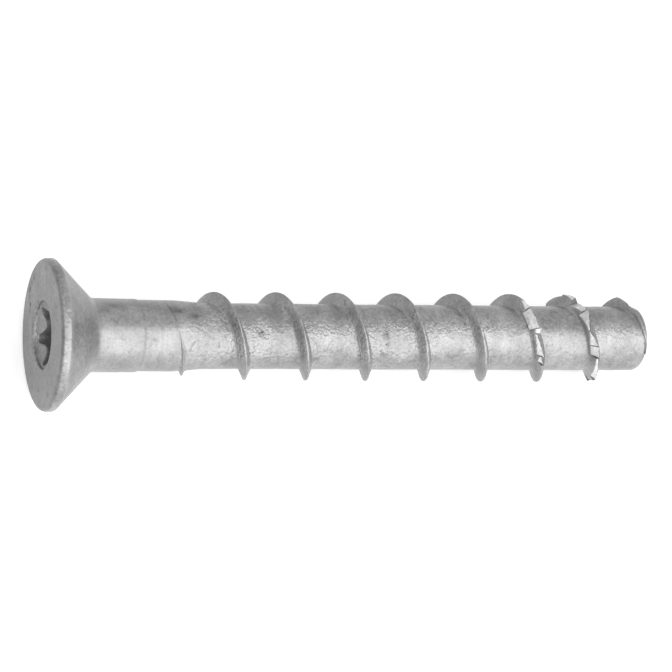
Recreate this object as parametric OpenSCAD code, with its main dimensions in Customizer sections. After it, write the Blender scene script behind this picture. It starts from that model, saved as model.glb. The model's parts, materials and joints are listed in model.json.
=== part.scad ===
// Concrete screw, countersunk head with a six-lobe recess, coarse right-hand thread.
// It lies as it comes to rest on a floor: head rim and last thread turn touch z = 0.

/* [Head] */
// Diameter of the head over its rim
head_d = 21.0; // [12:0.1:40]
// Height of the rim of the head, with its rounding
head_land_h = 1.3; // [0.4:0.05:3]
// Rounding of the rim towards the head face
head_face_round = 0.6; // [0.05:0.05:1]
// Rounding of the rim towards the countersink
head_back_round = 0.3; // [0.05:0.05:0.6]
// Half angle of the countersink under the head, degrees
head_cone_half_angle = 45; // [35:1:60]
// Fillet between the countersink and the neck
head_neck_fillet = 0.9; // [0.1:0.1:3]

/* [Drive recess] */
// Size of the six-lobe recess over two opposite lobes
drive_over_lobes = 9.0; // [3:0.01:14]
// Size of the recess between two opposite flutes
drive_over_flutes = 6.38; // [2:0.01:11]
// Radius of the outer rounding of a lobe
drive_lobe_r = 0.72; // [0.2:0.01:2]
// Radius of the flute between two lobes
drive_flute_r = 1.95; // [0.5:0.01:4]
// Depth of the full recess form from the head face
drive_depth = 4.6; // [1:0.1:8]
// Further depth of the conical floor at its middle
drive_floor_dip = 0.9; // [0.1:0.1:3]
// Width of the flat ledge between the flutes and that floor
drive_floor_ledge = 0.3; // [0.1:0.05:0.8]
// Diameter of the round mouth of the recess
drive_mouth_d = 9.4; // [3:0.05:14]
// Depth of the straight part of that mouth
drive_mouth_depth = 0.55; // [0.05:0.05:2]
// Slope of the lead-in below the mouth, degrees from the head face
drive_lead_in_slope = 30; // [10:1:45]
// Turn of the recess about the screw, degrees
drive_angle = 23; // [0:1:59]

/* [Shank] */
// Diameter of the neck next to the head
neck_d = 10.18; // [6:0.01:16]
// Distance from the head face to the small step in the neck
neck_step_at = 13.1; // [8:0.1:40]
// Length of the small step
neck_step_len = 0.4; // [0.1:0.05:2]
// Diameter of the shank after the step
shank_d = 9.88; // [6:0.01:16]
// Distance from the head face to the end of that shank
shank_end_at = 18.6; // [12:0.1:80]
// Length over which the shank tapers down to the core
shank_taper_len = 4.9; // [0.5:0.1:20]

/* [Core and tip] */
// Overall length from the head face to the tip
screw_len = 90.0; // [50:1:200]
// Diameter of the thread core at the shank
core_d = 9.16; // [5:0.01:15]
// Diameter of the thread core at the tip
core_tip_d = 9.34; // [5:0.01:15]
// Rounding of the blunt tip
tip_round = 1.0; // [0.1:0.1:3]

/* [Thread] */
// Outer diameter of the thread at the head end
thread_d = 12.32; // [7:0.01:20]
// Outer diameter of the thread at the tip, which cuts the hole
thread_tip_d = 12.8; // [7:0.05:20]
// Distance from the head face to the first full turn
thread_first_at = 29.2; // [15:0.1:100]
// Advance of the first full turn
thread_pitch = 9.16; // [3:0.01:15]
// Loss of advance in each further turn
thread_pitch_loss = 0.077; // [0:0.001:0.5]
// Advance of a turn in the run-out under the head
thread_runout_pitch = 7.0; // [3:0.1:15]
// Turns ahead of the first full one where the ridge rises out of the shank
thread_runout_turns = 1.43; // [1.1:0.01:3]
// Turns in which the ridge rises to its full height
thread_rise_turns = 0.7; // [0.1:0.01:2]
// Turns in which the ridge falls away at the tip
thread_fall_turns = 0.42; // [0.05:0.01:1]
// Width of the ridge at the core
thread_root_w = 1.86; // [0.5:0.01:4]
// Width of the flat crest at the head end
thread_crest_w = 0.26; // [0.1:0.01:2]
// Width of the flat crest at the tip
thread_crest_tip_w = 0.5; // [0.1:0.01:2]
// Depth of the ridge inside the core, so that both are one body
thread_embed = 0.45; // [0.1:0.05:1.5]
// Distance that the ridge stays behind the end face of the tip
tip_skin = 0.3; // [0.01:0.01:1]
// Turn that the ridge has reached at the bottom of the resting screw, degrees
thread_angle = 300; // [0:5:355]

/* [Saw teeth of the last turns] */
// Start of each tooth, in turns back from the end of the thread
tooth_back_shares = [2.264, 2.204, 2.112, 2.009, 1.976, 1.814, 1.724, 1.634, 1.534, 1.434, 1.334, 1.237,
    1.162, 1.112, 1.051, 1.006, 0.904, 0.804, 0.697, 0.637, 0.544, 0.464, 0.334, 0.274, 0.204, 0.114];
// Depth of the cut at the start of each tooth, as a share of the ridge height
tooth_start_shares = [0, 0.15, 0.1, 0, 0, 0, 0, 0, 0, 0, 0, 0.5, 0.22,
    0.16, 0.18, 0, 0, 0, 0, 0, 0, 0.85, 0, 0.5, 0.12, 0.1];
// Depth of the cut at the end of each tooth, as a share of the ridge height
tooth_end_shares = [0.1, 0.18, 0.16, 0.1, 0, 0.3, 0.3, 0.3, 0.3, 0.12, 0.1, 0.28, 0.16,
    0.2, 0.22, 0.3, 0.3, 0.3, 0.3, 0.3, 0.3, 0, 0.35, 0.2, 0.1, 0.1];

/* [Looks] */
// Colour of the zinc coating
coat_colour = [0.6, 0.6, 0.6];

/* [Hidden] */
round_steps = 5;
lobe_count = 6;
arc_steps = 6;
turn_steps = 44;
tooth_gap_turns = 0.006;
ridge_end_share = 0.04;
whole_turn = 360;
half_turn = 180;
right_angle = 90;

head_r = head_d / 2;
neck_r = neck_d / 2;
shank_r = shank_d / 2;
core_r = core_d / 2;
core_tip_r = core_tip_d / 2;
core_from = shank_end_at + shank_taper_len;
cone_end_at = head_land_h + (head_r - neck_r) / tan(head_cone_half_angle);
tooth_count = len(tooth_back_shares);

// Turns after the first full one at which the ridge meets the end face
ridge_run = screw_len - thread_first_at;
thread_root = sqrt(max(0, thread_pitch * thread_pitch - 2 * thread_pitch_loss * ridge_run));
thread_turns = thread_pitch_loss == 0 ? ridge_run / thread_pitch
    : (thread_pitch - thread_root) / thread_pitch_loss;
tooth_from = [for (back = tooth_back_shares) thread_turns - back];

// Points of an arc about [x, y]: radius r, from angle a to angle b
function arc(x, y, r, a, b, n) = [for (i = [0 : n])
    [x + r * cos(a + (b - a) * i / n), y + r * sin(a + (b - a) * i / n)]];

// Distance from the corner to the start of a rounding of the countersink corners
back_cut = head_back_round * tan(head_cone_half_angle / 2);
face_round = min(head_face_round, head_land_h - back_cut);
neck_cut = head_neck_fillet * tan(head_cone_half_angle / 2);
tip_arc_r = core_tip_r - tip_round;

blank_outline = concat(
    [[0, 0]],
    arc(head_r - face_round, face_round, face_round, -right_angle, 0, round_steps),
    arc(head_r - head_back_round, head_land_h - back_cut, head_back_round, 0,
        head_cone_half_angle, round_steps),
    arc(neck_r + head_neck_fillet, cone_end_at + neck_cut, head_neck_fillet,
        half_turn + head_cone_half_angle, half_turn, round_steps),
    [[neck_r, neck_step_at],
     [shank_r, neck_step_at + neck_step_len],
     [shank_r, shank_end_at],
     [core_r, core_from]],
    arc(tip_arc_r, screw_len - tip_round, tip_round, 0, right_angle, round_steps),
    [[0, screw_len]]
);

// The recess outline runs through the points where the lobes and flutes touch
lobe_at = drive_over_lobes / 2 - drive_lobe_r;
flute_at = drive_over_flutes / 2 + drive_flute_r;
lobe_step = whole_turn / lobe_count;
touch_x = flute_at * cos(lobe_step / 2) - lobe_at;
touch_y = flute_at * sin(lobe_step / 2);
lobe_half = atan2(touch_y, touch_x);
flute_half = lobe_half - lobe_step / 2;

function turned(p, a) = [p[0] * cos(a) - p[1] * sin(a), p[0] * sin(a) + p[1] * cos(a)];

drive_outline = [for (k = [0 : lobe_count - 1])
    each [for (p = concat(
        arc(lobe_at, 0, drive_lobe_r, -lobe_half, lobe_half, arc_steps),
        [for (i = [1 : arc_steps - 1])
            let (a = half_turn + lobe_step / 2 + flute_half - 2 * flute_half * i / arc_steps)
            [flute_at * cos(lobe_step / 2) + drive_flute_r * cos(a),
             flute_at * sin(lobe_step / 2) + drive_flute_r * sin(a)]]))
        turned(p, k * lobe_step)]];

// Place along the screw that the middle of the ridge has reached after t turns
function ridge_at(t) = t < -1
    ? thread_first_at - thread_pitch - thread_pitch_loss / 2 + thread_runout_pitch * (t + 1)
    : thread_first_at + thread_pitch * t - thread_pitch_loss / 2 * t * t;

function along(t) = max(0, min(1, t / thread_turns));
function ridge_core_r(t) = core_r + (core_tip_r - core_r) * along(t);
function ridge_full_r(t) = (thread_d + (thread_tip_d - thread_d) * along(t)) / 2;
function crest_half_w(t) = (thread_crest_w + (thread_crest_tip_w - thread_crest_w) * along(t)) / 2;

// Share of the full ridge, from the rise at the head end and the fall at the tip
function ridge_share(t) = max(ridge_end_share, min(1,
    (t + thread_runout_turns) / thread_rise_turns, (thread_turns - t) / thread_fall_turns));

// Stations: turn number and share of the height left by the saw teeth
plain_from = -thread_runout_turns;
plain_steps = ceil((tooth_from[0] - plain_from) * turn_steps);
plain_stations = [for (i = [0 : plain_steps - 1])
    [plain_from + (tooth_from[0] - plain_from) * i / plain_steps, 1]];
tooth_stations = [for (k = [0 : tooth_count - 1])
    let (a = tooth_from[k],
         b = k < tooth_count - 1 ? tooth_from[k + 1] : thread_turns,
         n = ceil((b - a) * turn_steps))
    each [for (i = [0 : n])
        let (f = i / n,
             cut = tooth_start_shares[k] + (tooth_end_shares[k] - tooth_start_shares[k]) * f)
        [a + (b - a - tooth_gap_turns) * f, 1 - cut]]];
stations = concat(plain_stations, tooth_stations);
station_count = len(stations);

// One section of the ridge as [distance from the axis, place along the screw]
function ridge_section(st) =
    let (t = st[0],
         low = ridge_core_r(t),
         full = ridge_full_r(t) - low,
         size = ridge_share(t),
         up = full * st[1] * size,
         slope = (thread_root_w / 2 - crest_half_w(t)) / full,
         top_w = crest_half_w(t) * size + (full * size - up) * slope,
         foot_w = thread_root_w / 2 * size + thread_embed * slope,
         s = min(ridge_at(t), screw_len - tip_skin - foot_w))
    [[low - thread_embed, s - foot_w], [low + up, s - top_w],
     [low + up, s + top_w], [low - thread_embed, s + foot_w]];

function ridge_point(p, t) =
    let (a = thread_angle + whole_turn * t) [p[0] * cos(a), p[0] * sin(a), p[1]];

ridge_points = [for (st = stations) each [for (p = ridge_section(st)) ridge_point(p, st[0])]];
ridge_sides = 4;
ridge_faces = concat(
    [[0, 2, 1], [0, 3, 2]],
    [for (i = [0 : station_count - 2]) for (j = [0 : ridge_sides - 1])
        let (a = i * ridge_sides + j,
             b = i * ridge_sides + (j + 1) % ridge_sides,
             c = a + ridge_sides,
             d = b + ridge_sides)
        each [[a, b, c], [b, d, c]]],
    [let (e = (station_count - 1) * ridge_sides) [e, e + 1, e + 2],
     let (e = (station_count - 1) * ridge_sides) [e, e + 2, e + 3]]
);

// The screw rests on the back corner of the head rim and on the first tooth tips that the floor meets
rest_slope = min([for (st = stations) for (p = ridge_section(st))
    (head_r - p[0] * cos(thread_angle + whole_turn * st[0])) / (p[1] - head_land_h)]);
rest_tilt = atan(rest_slope);

function depth_below_axis(s, r, a) = s * sin(rest_tilt) + r * cos(a) * cos(rest_tilt);
head_depth = max([for (p = blank_outline) depth_below_axis(p[1], p[0], 0)]);
ridge_depth = max([for (st = stations) for (p = ridge_section(st))
    depth_below_axis(p[1], p[0], thread_angle + whole_turn * st[0])]);
axis_height = max(head_depth, ridge_depth);
lowest_x = min([for (p = blank_outline) p[1] * cos(rest_tilt) - p[0] * sin(rest_tilt)]);
highest_x = max([for (p = blank_outline) p[1] * cos(rest_tilt) + p[0] * sin(rest_tilt)]);
middle_x = (lowest_x + highest_x) / 2;

module blank() {
    rotate_extrude($fn = 96)
        polygon(blank_outline);
}

module drive_recess() {
    // full form with a conical floor
    linear_extrude(height = drive_depth)
        rotate([0, 0, drive_angle])
            polygon(drive_outline);
    translate([0, 0, drive_depth])
        cylinder(h = drive_floor_dip, r1 = drive_over_flutes / 2 - drive_floor_ledge, r2 = 0, $fn = 60);
    // round mouth with its lead-in
    cylinder(h = drive_mouth_depth, r = drive_mouth_d / 2, $fn = 60);
    translate([0, 0, drive_mouth_depth])
        cylinder(h = drive_mouth_d / 2 * tan(drive_lead_in_slope), r1 = drive_mouth_d / 2, r2 = 0, $fn = 60);
}

module thread_ridge() {
    polyhedron(points = ridge_points, faces = ridge_faces, convexity = 10);
}

module concrete_screw() {
    color(coat_colour)
        translate([-middle_x, 0, axis_height])
            rotate([0, right_angle + rest_tilt, 0])
                union() {
                    difference() {
                        blank();
                        drive_recess();
                    }
                    thread_ridge();
                }
}

concrete_screw();
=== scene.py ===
import json
import math

import bmesh
import bpy
import numpy as np
from mathutils import Matrix, Vector


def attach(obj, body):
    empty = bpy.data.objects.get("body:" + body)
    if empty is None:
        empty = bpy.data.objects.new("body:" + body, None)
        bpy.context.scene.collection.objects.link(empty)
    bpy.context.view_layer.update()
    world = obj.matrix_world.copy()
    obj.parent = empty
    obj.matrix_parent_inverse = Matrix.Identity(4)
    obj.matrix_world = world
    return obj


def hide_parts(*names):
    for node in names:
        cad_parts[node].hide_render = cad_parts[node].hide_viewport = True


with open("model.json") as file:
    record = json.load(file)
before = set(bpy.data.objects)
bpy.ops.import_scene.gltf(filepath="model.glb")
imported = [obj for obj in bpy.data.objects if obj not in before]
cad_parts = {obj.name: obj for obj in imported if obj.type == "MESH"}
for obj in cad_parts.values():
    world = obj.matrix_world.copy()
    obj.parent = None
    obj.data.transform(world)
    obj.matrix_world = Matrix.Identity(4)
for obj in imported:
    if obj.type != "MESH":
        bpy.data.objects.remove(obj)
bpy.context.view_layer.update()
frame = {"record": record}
print("frame loaded")

mm = 0.001  # millimetres to metres

# The screw's own axis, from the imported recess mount
faceMount = next(m for m in frame["record"]["mounts"] if m["name"] == "drive_recess")
axisDir = -Vector(faceMount["axis"]).normalized()  # from the head face to the tip
faceCentre = Vector(faceMount["pos_m"])
sideDir = Vector((0, 1, 0))  # level, across the screw
downDir = sideDir.cross(axisDir)  # towards the floor, square to the screw

# Sizes of the screw in millimetres and degrees, measured from the head face
screw = {
    "length": 90.0,
    "headD": 21.0,
    "headLand": 1.3,
    "faceRound": 0.6,
    "faceBand": 0.3,  # what lies this near an end counts as the flat face there
    "backRound": 0.3,
    "coneHalfAngle": 45.0,
    "neckFillet": 1.2,
    "neckD": 10.18,
    "stepAt": 13.1,
    "stepLength": 0.4,
    "stepSoft": 0.25,
    "shankD": 9.88,
    "shankEndAt": 18.6,
    "taperLength": 4.9,
    "taperEase": 0.35,  # 0 for a straight taper, 1 for one that is rounded at both ends
    "coreD": 9.16,
    "coreTipD": 9.34,
    "tipRound": 1.0,
    "tipMiddle": 0.4,  # radius of the innermost ring on the end of the tip
    "columns": 192,  # mesh points round the screw
    "coreRows": 160,
}

recess = {
    "overLobes": 9.0,
    "overFlutes": 6.38,
    "lobePitch": 60.0,
    "lobeR": 0.72,
    "fluteR": 1.95,
    "depth": 4.6,
    "floorDip": 0.9,
    "floorLedge": 0.3,
    "floorCorner": 0.12,
    "mouthD": 9.4,
    "mouthDepth": 0.55,
    "mouthRound": 0.3,
    "leadInSlope": 30.0,
    "angle": 23.0,
}

thread = {
    "d": 12.32,
    "tipD": 12.8,
    "firstAt": 29.2,
    "pitch": 9.16,
    "pitchLoss": 0.077,  # how much each turn's pitch is shorter than the last
    "runoutPitch": 7.0,
    "runoutTurns": 1.43,
    "riseTurns": 0.7,
    "fallTurns": 0.42,
    "rootWidth": 1.86,
    "crestWidth": 0.26,
    "crestTipWidth": 0.5,
    "crestCrown": 0.25,
    "thinnestCrest": 0.06,
    "edgeRound": 0.07,
    "embed": 0.45,
    "tipSkin": 0.3,
    "angle": 300.0,
    "rootFillet": 0.1,
    "endShare": 0.04,
    "stationsPerTurn": 150,
    "toothStationsPerTurn": 200,
    "toothGap": 0.004,  # turns between one tooth and the next
    "facetLean": 0.15,  # a cut that leans more than this is a bare facet
    "chatter": 0.03,
    "chatterRate": 1500,
}

# Saw teeth, each from its start in turns back from the thread's end; the other values are given for
# its start and its end: depth of the cut as a share of the ridge, lean of the cut facet towards the
# head, and how far the edge on the tip side is bitten off
teeth = [
    (2.264, (0.00, 0.10), (0.0, 0.8), (0.00, 0.00)),
    (2.204, (0.17, 0.21), (1.2, 1.3), (0.00, 0.00)),
    (2.118, (0.05, 0.10), (0.8, 0.8), (-0.25, 0.10)),
    (2.098, (0.11, 0.14), (1.0, 1.1), (0.45, 0.00)),
    (2.009, (0.06, 0.12), (0.8, 1.1), (0.30, 0.00)),
    (1.976, (0.00, 0.00), (0.0, 0.0), (0.00, 0.00)),
    (1.814, (0.00, 0.30), (0.0, 0.9), (0.00, 0.00)),
    (1.724, (0.00, 0.30), (0.0, 1.0), (0.20, 0.00)),
    (1.634, (0.00, 0.30), (0.0, 0.7), (0.00, 0.00)),
    (1.534, (0.00, 0.30), (0.0, 0.9), (0.00, 0.00)),
    (1.434, (0.00, 0.12), (0.0, 0.1), (0.00, 0.00)),
    (1.334, (0.00, 0.06), (0.0, 0.7), (0.00, 0.00)),
    (1.267, (0.55, 0.18), (0.4, 0.5), (0.00, 0.00)),
    (1.195, (0.18, 0.14), (1.2, 0.9), (-0.15, 0.60)),
    (1.112, (0.12, 0.17), (0.9, 1.2), (0.60, 0.00)),
    (1.051, (0.15, 0.18), (1.2, 1.2), (0.00, 0.00)),
    (1.006, (0.02, 0.14), (0.25, 0.9), (0.15, 0.00)),
    (0.884, (0.00, 0.30), (0.0, 0.8), (0.00, 0.00)),
    (0.804, (0.00, 0.30), (0.0, 0.9), (0.20, 0.00)),
    (0.697, (0.00, 0.30), (0.0, 0.8), (0.00, 0.00)),
    (0.637, (0.00, 0.30), (0.0, 0.8), (0.00, 0.00)),
    (0.544, (0.00, 0.30), (0.0, 1.0), (0.00, 0.00)),
    (0.464, (0.85, 0.00), (0.1, 0.0), (0.00, 0.00)),
    (0.334, (0.00, 0.35), (0.0, 0.1), (0.00, 0.00)),
    (0.274, (0.50, 0.20), (0.1, 0.1), (0.00, 0.00)),
    (0.204, (0.12, 0.10), (0.1, 0.0), (0.00, 0.00)),
    (0.114, (0.10, 0.10), (0.0, 0.0), (0.00, 0.00)),
]


def along(start, end, count):
    # Evenly spaced values from start to end in count steps, both ends included
    return [start + (end - start) * i / count for i in range(count + 1)]


def between(start, end, share):
    return start + (end - start) * share


def eased(share):
    # The same share with a soft start and end
    return 0.5 - 0.5 * math.cos(math.pi * share)


def arcRows(s, r, radius, fromAngle, toAngle, steps):
    rows = []
    for angle in along(math.radians(fromAngle), math.radians(toAngle), steps):
        rows.append((s + radius * math.sin(angle), r + radius * math.cos(angle)))
    return rows


def blankRows():
    # Outline of the blank from the mouth of the recess to the tip, as (s, r)
    headR, neckR, shankR = screw["headD"] / 2, screw["neckD"] / 2, screw["shankD"] / 2
    coreR, tipR = screw["coreD"] / 2, screw["coreTipD"] / 2
    faceRound, backRound, neckFillet = screw["faceRound"], screw["backRound"], screw["neckFillet"]
    half = screw["coneHalfAngle"]
    cornerCut = math.tan(math.radians(half / 2))  # length that a rounding of 1 mm takes off
    # face and rim of the head
    mouthEdge = recess["mouthD"] / 2 + recess["mouthRound"]
    rows = [(0, r) for r in along(mouthEdge, headR - faceRound - 0.02, 14)]
    rows += arcRows(faceRound, headR - faceRound, faceRound, -90, 0, 7)
    backFrom = screw["headLand"] - backRound * cornerCut
    rows += [(s, headR) for s in along(faceRound, backFrom, 3)[1:]]
    rows += arcRows(backFrom, headR - backRound, backRound, 0, half, 4)[1:]
    # cone, with its fillet to the neck
    coneEnd = screw["headLand"] + (headR - neckR) / math.tan(math.radians(half))
    lastS, lastR = rows[-1]
    fillet = arcRows(coneEnd + neckFillet * cornerCut, neckR + neckFillet, neckFillet, 180 + half, 180, 6)
    rows += [(between(lastS, fillet[0][0], f), between(lastR, fillet[0][1], f))
             for f in along(0, 1, 16)[1:]]
    rows += fillet[1:]
    # neck, step and shank
    stepFrom = screw["stepAt"] - screw["stepSoft"]
    stepEnd = screw["stepAt"] + screw["stepLength"] + screw["stepSoft"]
    rows += [(s, neckR) for s in along(fillet[-1][0], stepFrom, 14)[1:]]
    rows += [(between(stepFrom, stepEnd, f), between(neckR, shankR, eased(f))) for f in along(0, 1, 6)[1:]]
    rows += [(s, shankR) for s in along(stepEnd, screw["shankEndAt"], 12)[1:]]
    # taper, core and tip
    drop, ease = coreR - shankR, screw["taperEase"]
    rows += [(screw["shankEndAt"] + screw["taperLength"] * f,
              shankR + drop * eased(f) * ease + drop * f * (1 - ease)) for f in along(0, 1, 14)[1:]]
    coreFrom = screw["shankEndAt"] + screw["taperLength"]
    tipFrom = screw["length"] - screw["tipRound"]
    rows += [(s, coreR + (tipR - coreR) * (s - coreFrom) / (screw["length"] - coreFrom))
             for s in along(coreFrom, tipFrom, screw["coreRows"])[1:]]
    rows += arcRows(tipFrom, tipR - screw["tipRound"], screw["tipRound"], 0, 90, 7)[1:]
    rows += [(screw["length"], r) for r in along(tipR - screw["tipRound"], screw["tipMiddle"], 9)[1:]]
    return rows


def recessRadius(theta):
    # Distance of the six-lobe wall from the axis, in the direction theta in degrees
    lobeR, fluteR, half = recess["lobeR"], recess["fluteR"], recess["lobePitch"] / 2
    lobeAt = recess["overLobes"] / 2 - lobeR
    fluteAt = recess["overFlutes"] / 2 + fluteR
    fromLobe = np.abs((theta - recess["angle"] + half) % (2 * half) - half)
    phi, psi = np.radians(fromLobe), np.radians(half - fromLobe)
    lobe = lobeAt * np.cos(phi) + np.sqrt(np.maximum(lobeR ** 2 - (lobeAt * np.sin(phi)) ** 2, 0))
    flute = fluteAt * np.cos(psi) - np.sqrt(np.maximum(fluteR ** 2 - (fluteAt * np.sin(psi)) ** 2, 0))
    touch = math.degrees(math.atan2(  # where a lobe's arc runs into a flute's
        lobeR * fluteAt * 0.5,
        lobeAt * (lobeR + fluteR) + lobeR * (fluteAt * math.cos(math.pi / 6) - lobeAt)))
    return np.where(fromLobe < touch, lobe, flute)


def recessRows(theta):
    # Rows of the recess from the middle of its floor to its mouth, each with one (s, r) for each column
    wall = recessRadius(theta)
    mouthR, mouthDepth, mouthRound = recess["mouthD"] / 2, recess["mouthDepth"], recess["mouthRound"]
    depth, corner, same = recess["depth"], recess["floorCorner"], np.ones_like(theta)
    # domed floor, the ledge round it and the corner below the wall
    floorR = recess["overFlutes"] / 2 - recess["floorLedge"]
    rows = [(same * (depth + recess["floorDip"] * (1 - f)), same * floorR * f)
            for f in (0.2, 0.4, 0.6, 0.8, 0.95)]
    rows.append((same * depth, same * (floorR + 0.04)))
    rows.append((same * depth, (wall + floorR) / 2))
    rows.append((same * depth, wall - corner))
    rows.append((same * (depth - 0.035), wall - 0.035))
    # wall and the slope that leads into it
    wallTop = mouthDepth + (mouthR - wall) * math.tan(math.radians(recess["leadInSlope"]))
    rows += [(depth - corner + (wallTop + 0.1 - depth + corner) * f, wall) for f in along(0, 1, 10)]
    rows.append((wallTop + 0.02, wall + 0.02))
    rows += [(wallTop * (1 - f) + mouthDepth * f, wall * (1 - f) + mouthR * f) for f in (0.15, 0.5, 0.85)]
    # round mouth with its rolled edge
    rows += [(same * (mouthDepth - 0.05), same * (mouthR - 0.01)), (same * mouthRound, same * mouthR)]
    rows += [(same * mouthRound * (1 - math.sin(a)), same * (mouthR + mouthRound * (1 - math.cos(a))))
             for a in (0.3, 0.6, 0.9, 1.2)]
    return rows


# Dents of handling and coating, the same for the blank and for the foot of the ridge
dents = {
    "count": 420,
    "radius": (0.35, 1.5),
    "depth": (0.006, 0.03),
    "seed": 7,
    "wave": 0.012,  # height of the slow waviness
    "onFace": 0.7,  # how deep they are on the head face, compared with the sides
}
# Faint seam that the rolling dies left midway between the last turns of the thread
seam = {"from": 62, "depth": 0.02, "halfWidth": 0.14, "place": 0.46, "turnLength": 9, "pitchLoss": 0.038}

dentRandom = np.random.default_rng(dents["seed"])
dentS = dentRandom.uniform(0, screw["length"], dents["count"])
dentTheta = dentRandom.uniform(0, 360, dents["count"])
dentRadius = dentRandom.uniform(*dents["radius"], dents["count"])
dentDepth = dentRandom.uniform(*dents["depth"], dents["count"])
dentDepth = dentDepth * dentRandom.choice([1, 1, -0.6], dents["count"])  # a third are low bumps


def arcLength(theta, middle, radius):
    # Distance round the screw from the direction middle, in millimetres
    return ((theta - middle + 180) % 360 - 180) * math.pi / 180 * radius


def surfaceDents(s, theta, r):
    # Radial offset in millimetres: slow waviness of the rolled blank, the seam and the dents
    offset = dents["wave"] * np.sin(s * 0.9 + 1.3 * np.sin(np.radians(theta)))
    offset = offset + dents["wave"] * np.sin(np.radians(theta) * 3 + s * 0.23)
    past = s - thread["firstAt"]
    turn = past / (thread["pitch"] - seam["pitchLoss"] * past / thread["pitch"])
    offSeam = (turn - (theta - thread["angle"]) / 360 + 0.5) % 1 - 0.5 - seam["place"]
    groove = np.exp(-(offSeam * seam["turnLength"] / seam["halfWidth"]) ** 2)
    offset = offset - seam["depth"] * groove * (s > seam["from"])
    for ds, dt, dr, dd in zip(dentS, dentTheta, dentRadius, dentDepth):
        distance = ((s - ds) ** 2 + arcLength(theta, dt, np.maximum(r, 1)) ** 2) / (dr * dr)
        near = distance < 4
        offset[near] -= dd * np.exp(-2 * distance[near])
    return offset


# Dark smudges: place from the head face, radius, angle, half lengths along the screw (on the head
# face, where the place is 0: outwards) and around it, in millimetres and degrees, and strength
smudges = [
    (0.0, 8.9, 93, 0.5, 0.5, 1.3), (0.0, 8.9, 84, 0.4, 0.5, 1.1), (0.0, 8.8, 76, 0.5, 0.7, 1.4),
    (0.0, 8.1, 70, 0.4, 0.4, 1.2), (0.0, 7.3, 65, 0.5, 0.4, 1.3), (0.0, 7.0, 57, 0.4, 0.3, 1.4),
    (0.0, 9.4, 134, 0.5, 0.5, 0.9), (0.0, 7.7, 313, 0.4, 0.5, 0.9), (0.0, 8.7, 279, 0.4, 0.6, 0.9),
    (7.8, 5.1, 168, 0.6, 0.4, 0.5), (9.4, 5.1, 157, 0.7, 0.4, 0.5), (10.6, 5.1, 161, 0.4, 0.8, 0.45),
    (14.7, 4.9, 217, 0.3, 0.3, 0.6), (18.3, 4.9, 166, 1.0, 0.5, 0.7),
    (20.4, 4.7, 176, 1.1, 0.4, 0.7), (30.2, 4.6, 205, 0.6, 0.5, 1.0), (48.7, 4.6, 207, 0.4, 0.5, 1.0),
    (49.0, 4.6, 223, 0.3, 0.3, 1.0),
]
# Painted shade along the screw: how dark the colour is painted on the head face and cone, and a dark ring
# painted at the step
paintedShade = {
    "s": [-1, 0.25, 0.35, 1.4, 1.8, 5.0, 6.0, 12.95, 13.25, 13.55],
    "dark": [0.24, 0.24, 0, 0, 0.3, 0.3, 0, 0, 0.27, 0],
}


def smudgeAndShadeAt(s, r, theta):
    # How dark the painted shade and the smudges make each point, 0 where neither darkens it
    dark = np.interp(s, paintedShade["s"], paintedShade["dark"])
    onFace = s < screw["faceBand"]
    for atS, atR, atTheta, halfAlong, halfAround, strength in smudges:
        lengthwise = r - atR if atS == 0 else s - atS
        around = arcLength(theta, atTheta, atR)
        spot = np.exp(-(lengthwise / halfAlong) ** 2 - (around / halfAround) ** 2)
        dark = np.maximum(dark, (onFace == (atS == 0)) * strength * spot)
    return dark


def placeOnScrew(s, r, theta):
    # Screw coordinates in millimetres and degrees to points of the frame in metres
    a, d, y = np.array(axisDir), np.array(downDir), np.array(sideDir)
    angle = np.radians(theta)
    return (np.array(faceCentre) + s[:, None] * mm * a
            + (r * mm * np.cos(angle))[:, None] * d + (r * mm * np.sin(angle))[:, None] * y)


def blankMesh():
    # Points, faces, places along the screw and the darkness painted on the head, neck, shank and core:
    # smudges and painted shade
    columns, band = screw["columns"], screw["faceBand"]
    theta = np.arange(columns) * 360 / columns
    same = np.ones(columns)
    inner = recessRows(theta)
    rows = inner + [(same * s, same * r) for s, r in blankRows()]
    s = np.concatenate([row[0] for row in rows])
    r = np.concatenate([row[1] for row in rows])
    allTheta = np.tile(theta, len(rows))
    outside = np.repeat(np.arange(len(rows)) >= len(inner), columns)
    offset = surfaceDents(s, allTheta, r) * outside
    onFace = outside & (s < band)
    r = r + np.where(onFace | (s > screw["length"] - band), 0, offset)
    s = s - np.where(onFace, offset * dents["onFace"], 0)
    floorMiddle, tipMiddle = recess["depth"] + recess["floorDip"], screw["length"]
    points = np.concatenate([placeOnScrew(s, r, allTheta),
                             placeOnScrew(np.array([floorMiddle, tipMiddle]), np.zeros(2), np.zeros(2))])
    faces = []
    for i in range(len(rows) - 1):
        for j in range(columns):
            k = (j + 1) % columns
            faces.append((i * columns + j, i * columns + k, (i + 1) * columns + k, (i + 1) * columns + j))
    lastRow = (len(rows) - 1) * columns
    for j in range(columns):
        k = (j + 1) % columns
        faces.append((len(points) - 2, k, j))
        faces.append((lastRow + j, lastRow + k, len(points) - 1))
    places = np.where(onFace, r - screw["headD"] / 2, s)  # on the face: from its rim inwards
    # smudges, and painted shade on the head face, the cone and the step
    dark = smudgeAndShadeAt(s, r, allTheta) * outside
    return points, faces, np.append(places, [recess["depth"], screw["length"]]), np.append(dark, [0, 0])


def threadTurns():
    run = screw["length"] - thread["firstAt"]
    pitch, loss = thread["pitch"], thread["pitchLoss"]
    return (pitch - math.sqrt(pitch * pitch - 2 * loss * run)) / loss


def ridgeAt(t):
    # Place of the ridge along the screw after t turns
    pitch, loss = thread["pitch"], thread["pitchLoss"]
    if t < -1:
        return thread["firstAt"] - pitch - loss / 2 + thread["runoutPitch"] * (t + 1)
    return thread["firstAt"] + pitch * t - loss / 2 * t * t


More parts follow.
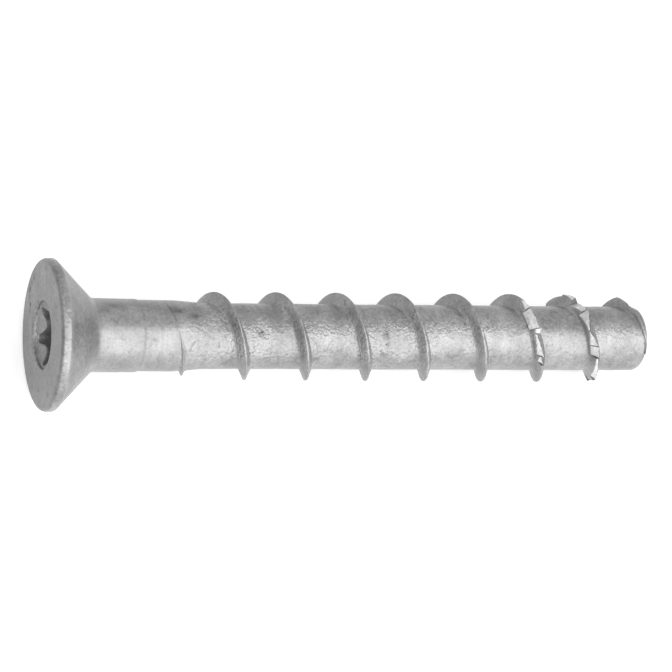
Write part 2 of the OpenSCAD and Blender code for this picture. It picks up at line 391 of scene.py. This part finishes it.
def ridgeStations():
    # Turn, share of the height that is cut away, lean of the cut, bite out of the edge, number of the tooth
    turns = threadTurns()
    first = turns - teeth[0][0]
    count = int((first + thread["runoutTurns"]) * thread["stationsPerTurn"])
    stations = [(t, 0.0, 0.0, 0.0, 0) for t in along(-thread["runoutTurns"], first, count)[:-1]]
    for k, (back, *cuts) in enumerate(teeth):
        start = turns - back
        end = turns - teeth[k + 1][0] if k + 1 < len(teeth) else turns
        steps = max(5, int((end - start) * thread["toothStationsPerTurn"]))
        for f in along(0, 1, steps):
            t = start + (end - start - thread["toothGap"]) * f
            cut, lean, bite = (between(a, b, f) for a, b in cuts)
            if lean > thread["facetLean"]:
                bite += thread["chatter"] * (1 + math.sin(t * thread["chatterRate"]))
            stations.append((t, cut, lean, bite, k + 1))
    return stations


# Sides of the ridge's section below, counted from its foot on the head side: the cut facet on top, and the
# edge beside it on the tip side, which gets painted shade where a facet is cut
facetSides, edgeSides = (7, 8, 9), (10, 11)


def ridgeSection(t, cut, lean, bite):
    # Radius of the core, and the closed section of the ridge as (place along the screw, height above it)
    turns = threadTurns()
    f = min(max(t / turns, 0), 1)
    coreR = between(screw["coreD"], screw["coreTipD"], f) / 2
    full = between(thread["d"], thread["tipD"], f) / 2 - coreR
    size = max(thread["endShare"], min(1, (t + thread["runoutTurns"]) / thread["riseTurns"],
                                       (turns - t) / thread["fallTurns"]))
    crest = between(thread["crestWidth"], thread["crestTipWidth"], f) / 2 * size
    root, high = thread["rootWidth"] / 2 * size, full * size
    steep = high / (root - crest)
    top = high * (1 - cut)
    # the cut plane meets the head side flank at left and the tip side flank at right
    left = (top - steep * root) / (steep - lean)
    right = max((steep * root - top) / (steep + lean) - bite * size, left + thread["thinnestCrest"])
    leftUp, rightUp = top + lean * left, top + lean * right
    fillet = thread["rootFillet"] * min(1, size * 1.5)
    soft = min(thread["edgeRound"], (right - left) * 0.3)
    crown = thread["crestCrown"] * crest if cut == 0 else 0.0
    # foot and flank on the head side
    section = [(-root - fillet - 0.05, -0.1), (-root - fillet, -0.015), (-root - fillet * 0.45, 0.02),
               (-root + fillet * 0.25 / steep, fillet * 0.35)]
    for share in (0.35, 0.65):
        section.append((-root + (left + root) * share, leftUp * share))
    # crest or cut facet between its two softened edges
    section.append((left - soft / steep, leftUp - soft))
    section.append((left + soft * 0.5, leftUp - soft * 0.12))
    for share in (0.3, 0.7):
        section.append((between(left, right, share), between(leftUp, rightUp, share) + crown * 0.5))
    section.append((right - soft * 0.5, rightUp - soft * 0.12))
    section.append((right + soft / steep, rightUp - soft))
    # flank and foot on the tip side, closed inside the core
    for share in (0.88, 0.65, 0.35):
        section.append((root - (root - right) * share, rightUp * share))
    section += [(root - fillet * 0.25 / steep, fillet * 0.35), (root + fillet * 0.45, 0.02),
                (root + fillet, -0.015), (root + fillet + 0.05, -0.1)]
    section += [(root * 0.6, -thread["embed"]), (-root * 0.6, -thread["embed"])]
    return coreR, section


def ridgeMesh():
    # Points, faces, places along the screw and finish of each face: 0 coat, 1 cut facet, 2 painted shade on
    # the edge beside a facet and between teeth
    stations = ridgeStations()
    s, r, theta, isCut, toothOf = [], [], [], [], []
    for t, cut, lean, bite, tooth in stations:
        coreR, section = ridgeSection(t, cut, lean, bite)
        middle = min(ridgeAt(t), screw["length"] - thread["tipSkin"] - max(x for x, h in section))
        lift = 0
        if t < 0:  # the foot follows the taper of the shank
            share = (screw["shankEndAt"] + screw["taperLength"] - ridgeAt(t)) / screw["taperLength"]
            lift = (screw["shankD"] - screw["coreD"]) / 2 * min(max(share, 0), 1)
        for x, h in section:
            s.append(middle + x)
            r.append(coreR + h + (lift if h < 0.1 else 0))
            theta.append(thread["angle"] + 360 * t)
        isCut.append(lean > thread["facetLean"])
        toothOf.append(tooth)
    sides = len(section)
    s, r, theta = np.array(s), np.array(r), np.array(theta)
    points = placeOnScrew(s, r + surfaceDents(s, theta % 360, r), theta)
    faces, finishes = [], []
    for i in range(len(stations) - 1):
        facet = isCut[i] and isCut[i + 1]
        gap = toothOf[i] != toothOf[i + 1] and (isCut[i] or isCut[i + 1])
        for j in range(sides):
            a, b = i * sides + j, i * sides + (j + 1) % sides
            faces.append((a, b, b + sides, a + sides))
            # the edge beside a facet and the gap between teeth get the painted shade finish
            edgeShaded = facet and j in edgeSides or gap and j in facetSides + edgeSides
            finishes.append(2 if edgeShaded else 1 if facet and j in facetSides else 0)
    faces.append(tuple(range(sides)))
    faces.append(tuple(range((len(stations) - 1) * sides, len(stations) * sides)))
    finishes += [0, 0]
    return points, faces, s, finishes


def addValues(mesh, name, values):
    # One number for each point, which the materials read by its name
    layer = mesh.attributes.new(name, "FLOAT", "POINT")
    layer.data.foreach_set("value", values.astype(np.float32))


def screwObject():
    points, faces, places, dark = blankMesh()
    ridgePoints, ridgeFaces, ridgePlaces, finishes = ridgeMesh()
    shift = len(points)
    allFaces = list(faces) + [tuple(v + shift for v in face) for face in ridgeFaces]
    mesh = bpy.data.meshes.new("concrete_screw_looks")
    mesh.from_pydata(np.concatenate([points, ridgePoints]).tolist(), [], allFaces)
    addValues(mesh, "axial", np.concatenate([places, ridgePlaces]))
    # darkness of the smudges and of the painted shade, read by the coating
    addValues(mesh, "smudgeAndShade", np.append(dark, np.zeros(len(ridgePoints))))
    mesh.polygons.foreach_set("material_index", [0] * len(faces) + finishes)
    work = bmesh.new()
    work.from_mesh(mesh)
    bmesh.ops.recalc_face_normals(work, faces=work.faces)
    work.to_mesh(mesh)
    work.free()
    mesh.polygons.foreach_set("use_smooth", [p.material_index == 0 for p in mesh.polygons])
    mesh.update()
    obj = bpy.data.objects.new("concrete_screw_looks", mesh)
    bpy.context.scene.collection.objects.link(obj)
    return obj


screwLooks = screwObject()
print("screw mesh made:", len(screwLooks.data.polygons), "faces")


# Finish of the zinc coating, of the steel that the tooth cuts lay bare, and of the painted shade on the
# edge beside it
coat = {
    "darkTone": 0.17,
    "lightTone": 0.34,
    # dark tone that smudges, pits and painted shade mix into the coating's colour
    "stainAndShadeTone": 0.04,
    "metallic": 0.5,
    "roughness": (0.30, 0.46),
    "grainBump": 1.0,
    "grainDepth": 0.22,
}
cutSteel = {
    "darkTone": 0.46,
    "lightTone": 0.74,
    "metallic": 1.0,
    "roughness": (0.5, 0.65),
    "grainBump": 0.6,
    "grainDepth": 0.07,
}
# painted shade: a dark finish on the tip-side edge of cut facets and in the gaps between teeth
edgeShadePaint = {
    "darkTone": 0.05,
    "lightTone": 0.16,
    "metallic": 0.5,
    "roughness": (0.5, 0.6),
    "grainBump": 0.6,
    "grainDepth": 0.04,
}
# Grain of all three; a noise is (scale, detail, roughness, distortion), a range (from low, from high,
# to low, to high) with 0 and 1 as its usual second half
grainLook = {
    "broadNoise": (300, 3, 0.5, 0.0),
    "fineNoise": (2200, 1.2, 0.5, 0.6),
    "tinyNoise": (3600, 1, 0.5, 0.0),
    "spotNoise": (850, 2, 0.6, 1.2),
    "fineShare": 0.38,
    "tinyShare": 0.2,
    "spotRange": (0.60, 0.72),
    "spotDark": 0.22,
    "mottleRange": (0.36, 0.64),
    "glossRange": (0.3, 0.7),
    "patchRange": (0.35, 0.62, 0.35, 1.2),
    "reliefTinyShare": 0.12,
}
# Marks that only the coating has
marks = {
    "ringNoise": (0.8, 4, 0.65, 0.0),
    "ringRange": (0.35, 0.5, 0.75, 1.0),
    "pitNoise": (2100, 2, 0.6, 0.8),
    "pitRange": (0.45, 0.65, 1.0, 0.2),
    "pitDark": 0.55,
    "offFace": (0.2, 1.0),  # place from the head face over which the pits end
    "stainAndShadeBreak": (0.38, 0.6, 1.3, 0.5),
    "neckToCore": (17, 24),  # from here to there the drawn neck's grain changes to the rolled core's
    "neckMottle": 0.75,
    "neckRelief": 0.2,
    "middleToTip": (48, 66),  # from here to there the relief gets weaker
    "tipRelief": 0.5,
}


def addNode(tree, kind, place, **settings):
    node = tree.nodes.new(kind)
    node.location = place
    for name, value in settings.items():
        setattr(node, name, value)
    return node


def feed(tree, source, target):
    # An output is linked to the input, a plain value is set on it
    if isinstance(source, bpy.types.NodeSocket):
        tree.links.new(source, target)
    else:
        target.default_value = source


def noiseNode(tree, place, where, scale, detail, roughness, distortion, dimensions="3D"):
    node = addNode(tree, "ShaderNodeTexNoise", place, noise_dimensions=dimensions)
    feed(tree, where, node.inputs["W" if dimensions == "1D" else "Vector"])
    for name, value in (("Scale", scale), ("Detail", detail), ("Roughness", roughness),
                        ("Distortion", distortion)):
        feed(tree, value, node.inputs[name])
    return node.outputs["Fac"]


def rangeNode(tree, place, source, fromLow, fromHigh, toLow=0.0, toHigh=1.0):
    node = addNode(tree, "ShaderNodeMapRange", place)
    for name, value in (("Value", source), ("From Min", fromLow), ("From Max", fromHigh),
                        ("To Min", toLow), ("To Max", toHigh)):
        feed(tree, value, node.inputs[name])
    return node.outputs["Result"]


def mathNode(tree, place, operation, *values):
    node = addNode(tree, "ShaderNodeMath", place, operation=operation)
    for i, value in enumerate(values):
        feed(tree, value, node.inputs[i])
    return node.outputs[0]


def mixNode(tree, place, share, a, b, kind="FLOAT"):
    node = addNode(tree, "ShaderNodeMix", place, data_type=kind)
    for name, value in (("Factor", share), ("A", a), ("B", b)):
        feed(tree, value, node.inputs[name])
    return node.outputs["Result"]


def grey(tone):
    return (tone,) * 3 + (1,)


def clearedTree(owner):
    # Node tree of a material or world, emptied
    owner.use_nodes = True
    owner.node_tree.nodes.clear()
    return owner.node_tree


def metalGrainGroup():
    # Mottling, gloss variation and hammered relief, shared by the coating, the bare steel and the painted
    # edge shade
    tree = bpy.data.node_groups.new("metalGrain", "ShaderNodeTree")
    tree.interface.new_socket("Size", in_out="INPUT", socket_type="NodeSocketFloat")
    for name in ("Mottle", "Gloss", "Relief"):
        tree.interface.new_socket(name, in_out="OUTPUT", socket_type="NodeSocketFloat")
    inputs = addNode(tree, "NodeGroupInput", (-1000, 0))
    outputs = addNode(tree, "NodeGroupOutput", (700, 0))
    where = addNode(tree, "ShaderNodeTexCoord", (-1000, 300)).outputs["Object"]
    scaling = addNode(tree, "ShaderNodeVectorMath", (-800, 200), operation="SCALE")
    feed(tree, where, scaling.inputs[0])
    feed(tree, inputs.outputs["Size"], scaling.inputs["Scale"])
    scaled = scaling.outputs[0]
    broad = noiseNode(tree, (-550, 400), scaled, *grainLook["broadNoise"])
    fine = noiseNode(tree, (-550, 150), scaled, *grainLook["fineNoise"])
    tiny = noiseNode(tree, (-550, -100), scaled, *grainLook["tinyNoise"])
    spotty = noiseNode(tree, (-550, -350), scaled, *grainLook["spotNoise"])
    # mottling with dark spots
    mixed = mixNode(tree, (-400, 350), grainLook["fineShare"], broad, fine)
    blotches = mixNode(tree, (-250, 350), grainLook["tinyShare"], mixed, tiny)
    spots = rangeNode(tree, (-250, -350), spotty, *grainLook["spotRange"])
    spotted = mathNode(tree, (0, -250), "MULTIPLY_ADD", spots, -grainLook["spotDark"], blotches)
    mottle = rangeNode(tree, (250, 200), spotted, *grainLook["mottleRange"])
    gloss = rangeNode(tree, (250, 0), fine, *grainLook["glossRange"])
    # hammered relief, stronger in some patches
    patches = rangeNode(tree, (0, -450), broad, *grainLook["patchRange"])
    bumps = mixNode(tree, (250, -200), grainLook["reliefTinyShare"], fine, tiny)
    relief = mathNode(tree, (450, -200), "MULTIPLY", bumps, patches)
    for name, value in (("Mottle", mottle), ("Gloss", gloss), ("Relief", relief)):
        feed(tree, value, outputs.inputs[name])
    return tree


metalGrain = metalGrainGroup()


def coatMarks(tree, mottle, relief):
    # The coating's own mottling and relief, and how much smudges, pits and painted shade darken it
    place = addNode(tree, "ShaderNodeAttribute", (-700, -300), attribute_name="axial").outputs["Fac"]
    # faint rings that the rolling dies left round the screw
    rings = noiseNode(tree, (-500, -300), place, *marks["ringNoise"], dimensions="1D")
    ringTone = rangeNode(tree, (-300, -300), rings, *marks["ringRange"])
    mottle = mathNode(tree, (-100, 100), "MULTIPLY", mottle, ringTone)
    # small dark pits in the pressed head face
    where = addNode(tree, "ShaderNodeTexCoord", (-700, 500)).outputs["Object"]
    pits = noiseNode(tree, (-500, 500), where, *marks["pitNoise"])
    pitTone = rangeNode(tree, (-300, 500), pits, *marks["pitRange"])
    offFace = rangeNode(tree, (-300, 300), place, *marks["offFace"])
    pitted = mathNode(tree, (-100, 500), "MAXIMUM", pitTone, offFace)
    pitStain = mathNode(tree, (0, 400), "MULTIPLY_ADD", pitted, -marks["pitDark"], marks["pitDark"])
    # the smudges and the painted shade of face, cone and step, broken up by the same noise
    smudgeAndShade = addNode(tree, "ShaderNodeAttribute", (-700, 700), attribute_name="smudgeAndShade").outputs["Fac"]
    broken = rangeNode(tree, (-300, 700), pits, *marks["stainAndShadeBreak"])
    stainAndShade = mathNode(tree, (-100, 700), "MULTIPLY_ADD", smudgeAndShade, broken, pitStain)
    # the drawn neck is smoother than the rolled core, and the core wears towards the tip
    evenShare = rangeNode(tree, (-150, 250), place, *marks["neckToCore"], marks["neckMottle"], 1.0)
    mottle = mixNode(tree, (0, 250), evenShare, 0.5, mottle)
    rolled = rangeNode(tree, (-300, -500), place, *marks["neckToCore"], marks["neckRelief"], 1.0)
    relief = mathNode(tree, (-100, -500), "MULTIPLY", relief, rolled)
    worn = rangeNode(tree, (-300, -700), place, *marks["middleToTip"], 1.0, marks["tipRelief"])
    relief = mathNode(tree, (-100, -700), "MULTIPLY", relief, worn)
    return mottle, relief, stainAndShade


def metalMaterial(name, finish, marked=False):
    material = bpy.data.materials.new(name)
    tree = clearedTree(material)
    output = addNode(tree, "ShaderNodeOutputMaterial", (700, 0))
    shader = addNode(tree, "ShaderNodeBsdfPrincipled", (400, 0))
    shader.inputs["Metallic"].default_value = finish["metallic"]
    tree.links.new(shader.outputs[0], output.inputs["Surface"])
    grain = addNode(tree, "ShaderNodeGroup", (-400, 0), node_tree=metalGrain)
    grain.inputs["Size"].default_value = 1.0
    mottle, relief = grain.outputs["Mottle"], grain.outputs["Relief"]
    if marked:
        mottle, relief, stainAndShade = coatMarks(tree, mottle, relief)
    colour = mixNode(tree, (100, 200), mottle, grey(finish["darkTone"]), grey(finish["lightTone"]), "RGBA")
    if marked:
        # smudges, pits and painted shade darken the colour
        colour = mixNode(tree, (250, 400), stainAndShade, colour, grey(finish["stainAndShadeTone"]), "RGBA")
    feed(tree, colour, shader.inputs["Base Color"])
    roughness = rangeNode(tree, (100, 0), grain.outputs["Gloss"], 0, 1, *finish["roughness"])
    feed(tree, roughness, shader.inputs["Roughness"])
    bump = addNode(tree, "ShaderNodeBump", (100, -200))
    bump.inputs["Strength"].default_value = finish["grainBump"]
    bump.inputs["Distance"].default_value = finish["grainDepth"] * mm
    feed(tree, relief, bump.inputs["Height"])
    feed(tree, bump.outputs["Normal"], shader.inputs["Normal"])
    return material


screwLooks.data.materials.append(metalMaterial("zincCoat", coat, marked=True))
screwLooks.data.materials.append(metalMaterial("cutToothSteel", cutSteel))
screwLooks.data.materials.append(metalMaterial("paintedEdgeShade", edgeShadePaint))
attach(screwLooks, "root")
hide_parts("concrete_screw")
print("materials made")


# Floor and light; the lamp's angle is round the screw from straight down, toTip its lean to the tip
studio = {
    "floorSize": 4.0,
    "floorTone": 0.8,
    "floorRoughness": 0.4,
    "floorGlow": 0.4,
    "worldTone": 0.45,
    "softLight": {"angle": 229, "toTip": 9, "distance": 0.8, "width": 1.28, "height": 1.42, "power": 16.0},
}


def seenShare(tree, place):
    # 1 for what the camera sees directly, in a reflection or through glass
    path = addNode(tree, "ShaderNodeLightPath", place).outputs
    first = mathNode(tree, (place[0] + 150, place[1]), "MAXIMUM",
                     path["Is Camera Ray"], path["Is Glossy Ray"])
    return mathNode(tree, (place[0] + 300, place[1]), "MAXIMUM", first, path["Is Transmission Ray"])


def stageFloor():
    bpy.ops.mesh.primitive_plane_add(size=studio["floorSize"])
    floor = bpy.context.object
    floor.name = "floor"
    material = bpy.data.materials.new("paleFloor")
    tree = clearedTree(material)
    output = addNode(tree, "ShaderNodeOutputMaterial", (600, 0))
    matte = addNode(tree, "ShaderNodeBsdfPrincipled", (0, 100))
    matte.inputs["Base Color"].default_value = grey(studio["floorTone"])
    matte.inputs["Roughness"].default_value = studio["floorRoughness"]
    glow = addNode(tree, "ShaderNodeEmission", (0, -100))
    strength = mathNode(tree, (-200, -100), "MULTIPLY", seenShare(tree, (-500, -100)), studio["floorGlow"])
    feed(tree, strength, glow.inputs["Strength"])
    both = addNode(tree, "ShaderNodeAddShader", (300, 0))
    feed(tree, matte.outputs[0], both.inputs[0])
    feed(tree, glow.outputs[0], both.inputs[1])
    feed(tree, both.outputs[0], output.inputs["Surface"])
    floor.data.materials.append(material)


def whiteWorld():
    # White where it is seen, dimmer as a light
    world = bpy.data.worlds.new("whiteStudio")
    bpy.context.scene.world = world
    tree = clearedTree(world)
    output = addNode(tree, "ShaderNodeOutputWorld", (600, 0))
    pick = addNode(tree, "ShaderNodeMixShader", (300, 0))
    feed(tree, seenShare(tree, (-600, 0)), pick.inputs[0])
    for i, strength in ((1, studio["worldTone"]), (2, 1.0)):
        shade = addNode(tree, "ShaderNodeBackground", (0, 300 - 200 * i))
        shade.inputs["Color"].default_value = grey(1)
        shade.inputs["Strength"].default_value = strength
        feed(tree, shade.outputs[0], pick.inputs[i])
    feed(tree, pick.outputs[0], output.inputs["Surface"])


def aimed(direction, upHint):
    # Rotation of a lamp that lies in this direction and shines back along it
    back = direction.normalized()
    right = upHint.cross(back).normalized()
    return Matrix((right, back.cross(right), back)).transposed()


def softLamp(name, angle, toTip, distance, width, height, power):
    data = bpy.data.lights.new(name, "AREA")
    data.shape = "RECTANGLE"
    data.size, data.size_y = width, height
    data.energy = power
    lamp = bpy.data.objects.new(name, data)
    bpy.context.scene.collection.objects.link(lamp)
    turn, lean = math.radians(angle), math.radians(toTip)
    out = (math.cos(turn) * downDir + math.sin(turn) * sideDir) * math.cos(lean) + axisDir * math.sin(lean)
    middle = faceCentre + axisDir * screw["length"] / 2 * mm
    lamp.matrix_world = Matrix.Translation(middle + out * distance) @ aimed(out, axisDir).to_4x4()


stageFloor()
whiteWorld()
softLamp("softLight", **studio["softLight"])

# Camera, in millimetres and degrees: how far it is from the point that it looks at, where that point
# is on the screw's axis and above it, and how the camera is raised, turned towards the head and rolled
view = {
    "distance": 420.0,
    "aimAt": 42.924,
    "aimAbove": 0.11,
    "elevation": 60.0,
    "towardsHead": 20.957,
    "roll": 0.365,
    "lens": 159.21,
    "sensorWidth": 36,
    "nearest": 0.05,  # metres
    "furthest": 10,
}


def photoCamera():
    data = bpy.data.cameras.new("photoCamera")
    data.lens = view["lens"]
    data.sensor_width = view["sensorWidth"]
    data.clip_start = view["nearest"]
    data.clip_end = view["furthest"]
    camera = bpy.data.objects.new("photoCamera", data)
    bpy.context.scene.collection.objects.link(camera)
    rise, turn = math.radians(view["elevation"]), math.radians(view["towardsHead"])
    outward = -math.cos(rise) * sideDir - math.sin(rise) * downDir
    back = math.cos(turn) * outward - math.sin(turn) * axisDir
    right = math.cos(turn) * axisDir + math.sin(turn) * outward
    up = back.cross(right)
    rotation = Matrix((right, up, back)).transposed().to_4x4()
    middle = faceCentre + axisDir * view["aimAt"] * mm + up * view["aimAbove"] * mm
    roll = Matrix.Rotation(math.radians(view["roll"]), 4, "Z")
    camera.matrix_world = Matrix.Translation(middle + back * view["distance"] * mm) @ rotation @ roll
    bpy.context.scene.camera = camera


photoCamera()
bpy.context.scene.view_settings.view_transform = "Standard"
print("studio set")
